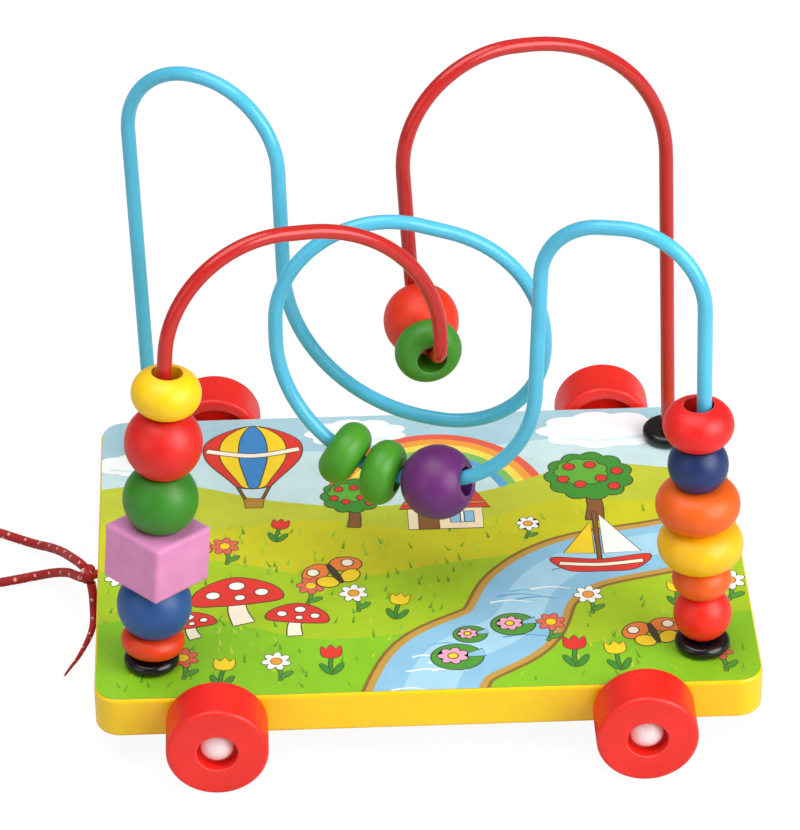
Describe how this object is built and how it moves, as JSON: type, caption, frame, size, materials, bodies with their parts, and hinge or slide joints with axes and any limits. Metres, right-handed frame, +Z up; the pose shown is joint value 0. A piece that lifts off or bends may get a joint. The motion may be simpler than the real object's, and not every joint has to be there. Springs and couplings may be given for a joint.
{
  "type": "bead maze",
  "caption": "Wooden bead maze on a wheeled board with a pull cord: painted beads slide along two bent, plastic covered wires, and the cart rolls behind a child.",
  "frame": {"origin": "on the floor under the middle of the board", "axes": "+X right along the board's length, away from the pull cord, +Y to the back, +Z up"},
  "size_m": [0.2553, 0.1624, 0.1666],
  "materials": {
    "board_wood": "painted smooth edge and printed top",
    "red_sleeve": "smooth extruded sleeve",
    "wire_steel": "drawn wire",
    "blue_sleeve": "smooth extruded sleeve",
    "cap_plastic": "moulded, glossy",
    "peg_wood": "turned and lacquered",
    "cord_braid": "braided with pale flecks",
    "tie_paper": "paper band",
    "wheel_wood": "turned and painted, satin",
    "orange_red_bead_paint": "turned and lacquered, glossy",
    "blue_bead_paint": "turned and lacquered, glossy",
    "pink_bead_paint": "turned and lacquered, glossy",
    "green_bead_paint": "turned and lacquered, glossy",
    "red_bead_paint": "turned and lacquered, glossy",
    "yellow_bead_paint": "turned and lacquered, glossy",
    "bright_red_bead_paint": "turned and lacquered, glossy",
    "orange_bead_paint": "turned and lacquered, glossy",
    "warm_yellow_bead_paint": "turned and lacquered, glossy",
    "navy_bead_paint": "turned and lacquered, glossy",
    "signal_red_bead_paint": "turned and lacquered, glossy",
    "leaf_green_bead_paint": "turned and lacquered, glossy",
    "purple_bead_paint": "turned and lacquered, glossy",
    "vermilion_bead_paint": "turned and lacquered, glossy"
  },
  "bodies": {
    "maze_frame": {"base_board": "board_wood", "red_wire_sleeve": "red_sleeve", "red_wire_core": "wire_steel", "blue_wire_sleeve": "blue_sleeve", "blue_wire_core": "wire_steel", "end_cap_front_left": "cap_plastic", "end_cap_front_right": "cap_plastic", "end_cap_back_left": "cap_plastic", "end_cap_back_right": "cap_plastic", "axle_peg_front_left": "peg_wood", "axle_peg_front_right": "peg_wood", "axle_peg_back_left": "peg_wood", "axle_peg_back_right": "peg_wood", "cord_knot": "cord_braid", "pull_cord_back_strand": "cord_braid", "pull_cord_front_strand": "cord_braid", "pull_cord_coil": "cord_braid", "coil_tie": "tie_paper", "cord_tail": "cord_braid"},
    "wheel_front_left": {"wheel_front_left": "wheel_wood"},
    "wheel_front_right": {"wheel_front_right": "wheel_wood"},
    "wheel_back_left": {"wheel_back_left": "wheel_wood"},
    "wheel_back_right": {"wheel_back_right": "wheel_wood"},
    "left_post_orange_bead": {"left_post_orange_bead": "orange_red_bead_paint"},
    "left_post_blue_bead": {"left_post_blue_bead": "blue_bead_paint"},
    "left_post_pink_cube": {"left_post_pink_cube": "pink_bead_paint"},
    "left_post_green_bead": {"left_post_green_bead": "green_bead_paint"},
    "left_post_red_bead": {"left_post_red_bead": "red_bead_paint"},
    "left_post_yellow_bead": {"left_post_yellow_bead": "yellow_bead_paint"},
    "right_post_low_red_bead": {"right_post_low_red_bead": "bright_red_bead_paint"},
    "right_post_small_orange_bead": {"right_post_small_orange_bead": "orange_bead_paint"},
    "right_post_yellow_bead": {"right_post_yellow_bead": "warm_yellow_bead_paint"},
    "right_post_large_orange_bead": {"right_post_large_orange_bead": "orange_bead_paint"},
    "right_post_navy_bead": {"right_post_navy_bead": "navy_bead_paint"},
    "right_post_top_red_bead": {"right_post_top_red_bead": "signal_red_bead_paint"},
    "loop_left_green_ring": {"loop_left_green_ring": "leaf_green_bead_paint"},
    "loop_middle_green_ring": {"loop_middle_green_ring": "leaf_green_bead_paint"},
    "loop_purple_bead": {"loop_purple_bead": "purple_bead_paint"},
    "dip_orange_bead": {"dip_orange_bead": "vermilion_bead_paint"},
    "dip_green_ring": {"dip_green_ring": "green_bead_paint"}
  },
  "joints": [
    {"name": "wheel_front_left_spin", "type": "hinge", "parent": "maze_frame", "child": "wheel_front_left", "pos_m": [-0.0573, -0.07405, 0.0137], "axis": [0, 1, 0], "continuous": true},
    {"name": "wheel_front_right_spin", "type": "hinge", "parent": "maze_frame", "child": "wheel_front_right", "pos_m": [0.0573, -0.07405, 0.0137], "axis": [0, 1, 0], "continuous": true},
    {"name": "wheel_back_left_spin", "type": "hinge", "parent": "maze_frame", "child": "wheel_back_left", "pos_m": [-0.0573, 0.07405, 0.0137], "axis": [0, 1, 0], "continuous": true},
    {"name": "wheel_back_right_spin", "type": "hinge", "parent": "maze_frame", "child": "wheel_back_right", "pos_m": [0.0573, 0.07405, 0.0137], "axis": [0, 1, 0], "continuous": true},
    {"name": "left_post_orange_bead_slide", "type": "slide", "parent": "maze_frame", "child": "left_post_orange_bead", "axis": [0.0744, 0.0666, 0.995], "range_m": [0, 0.0025]},
    {"name": "left_post_blue_bead_slide", "type": "slide", "parent": "left_post_orange_bead", "child": "left_post_blue_bead", "axis": [0.0744, 0.0666, 0.995], "range_m": [0, 0.0025]},
    {"name": "left_post_pink_cube_slide", "type": "slide", "parent": "left_post_blue_bead", "child": "left_post_pink_cube", "axis": [0.0744, 0.0666, 0.995], "range_m": [0, 0.0025]},
    {"name": "left_post_green_bead_slide", "type": "slide", "parent": "left_post_pink_cube", "child": "left_post_green_bead", "axis": [0.0744, 0.0666, 0.995], "range_m": [0, 0.0025]},
    {"name": "left_post_red_bead_slide", "type": "slide", "parent": "left_post_green_bead", "child": "left_post_red_bead", "axis": [0.0744, 0.0666, 0.995], "range_m": [0, 0.0025]},
    {"name": "left_post_yellow_bead_slide", "type": "slide", "parent": "left_post_red_bead", "child": "left_post_yellow_bead", "axis": [0.0744, 0.0666, 0.995], "range_m": [0, 0.0025]},
    {"name": "right_post_low_red_bead_slide", "type": "slide", "parent": "maze_frame", "child": "right_post_low_red_bead", "axis": [-0.0194, 0.0271, 0.9994], "range_m": [0, 0.006]},
    {"name": "right_post_small_orange_bead_slide", "type": "slide", "parent": "right_post_low_red_bead", "child": "right_post_small_orange_bead", "axis": [-0.0194, 0.0271, 0.9994], "range_m": [0, 0.006]},
    {"name": "right_post_yellow_bead_slide", "type": "slide", "parent": "right_post_small_orange_bead", "child": "right_post_yellow_bead", "axis": [-0.0194, 0.0271, 0.9994], "range_m": [0, 0.006]},
    {"name": "right_post_large_orange_bead_slide", "type": "slide", "parent": "right_post_yellow_bead", "child": "right_post_large_orange_bead", "axis": [-0.0194, 0.0271, 0.9994], "range_m": [0, 0.006]},
    {"name": "right_post_navy_bead_slide", "type": "slide", "parent": "right_post_large_orange_bead", "child": "right_post_navy_bead", "axis": [-0.0194, 0.0271, 0.9994], "range_m": [0, 0.006]},
    {"name": "right_post_top_red_bead_slide", "type": "slide", "parent": "right_post_navy_bead", "child": "right_post_top_red_bead", "axis": [-0.0194, 0.0271, 0.9994], "range_m": [0, 0.006]},
    {"name": "loop_left_green_ring_swing", "type": "hinge", "parent": "maze_frame", "child": "loop_left_green_ring", "pos_m": [-0.00466, -0.01455, 0.09206], "axis": [-0.4118, -0.9113, 0], "range_deg": [-40, 15]},
    {"name": "loop_middle_green_ring_swing", "type": "hinge", "parent": "loop_left_green_ring", "child": "loop_middle_green_ring", "pos_m": [-0.00466, -0.01455, 0.09206], "axis": [-0.4118, -0.9113, 0], "range_deg": [0, 20]},
    {"name": "loop_purple_bead_swing", "type": "hinge", "parent": "loop_middle_green_ring", "child": "loop_purple_bead", "pos_m": [-0.00466, -0.01455, 0.09206], "axis": [-0.4118, -0.9113, 0], "range_deg": [0, 18]},
    {"name": "dip_orange_bead_spin", "type": "hinge", "parent": "maze_frame", "child": "dip_orange_bead", "pos_m": [0.00127, 0.00709, 0.0918], "axis": [-0.1825, 0.9733, 0.1392], "continuous": true},
    {"name": "dip_green_ring_spin", "type": "hinge", "parent": "maze_frame", "child": "dip_green_ring", "pos_m": [0.00257, -0.00641, 0.0907], "axis": [-0.1843, 0.9829, 0], "continuous": true}
  ]
}
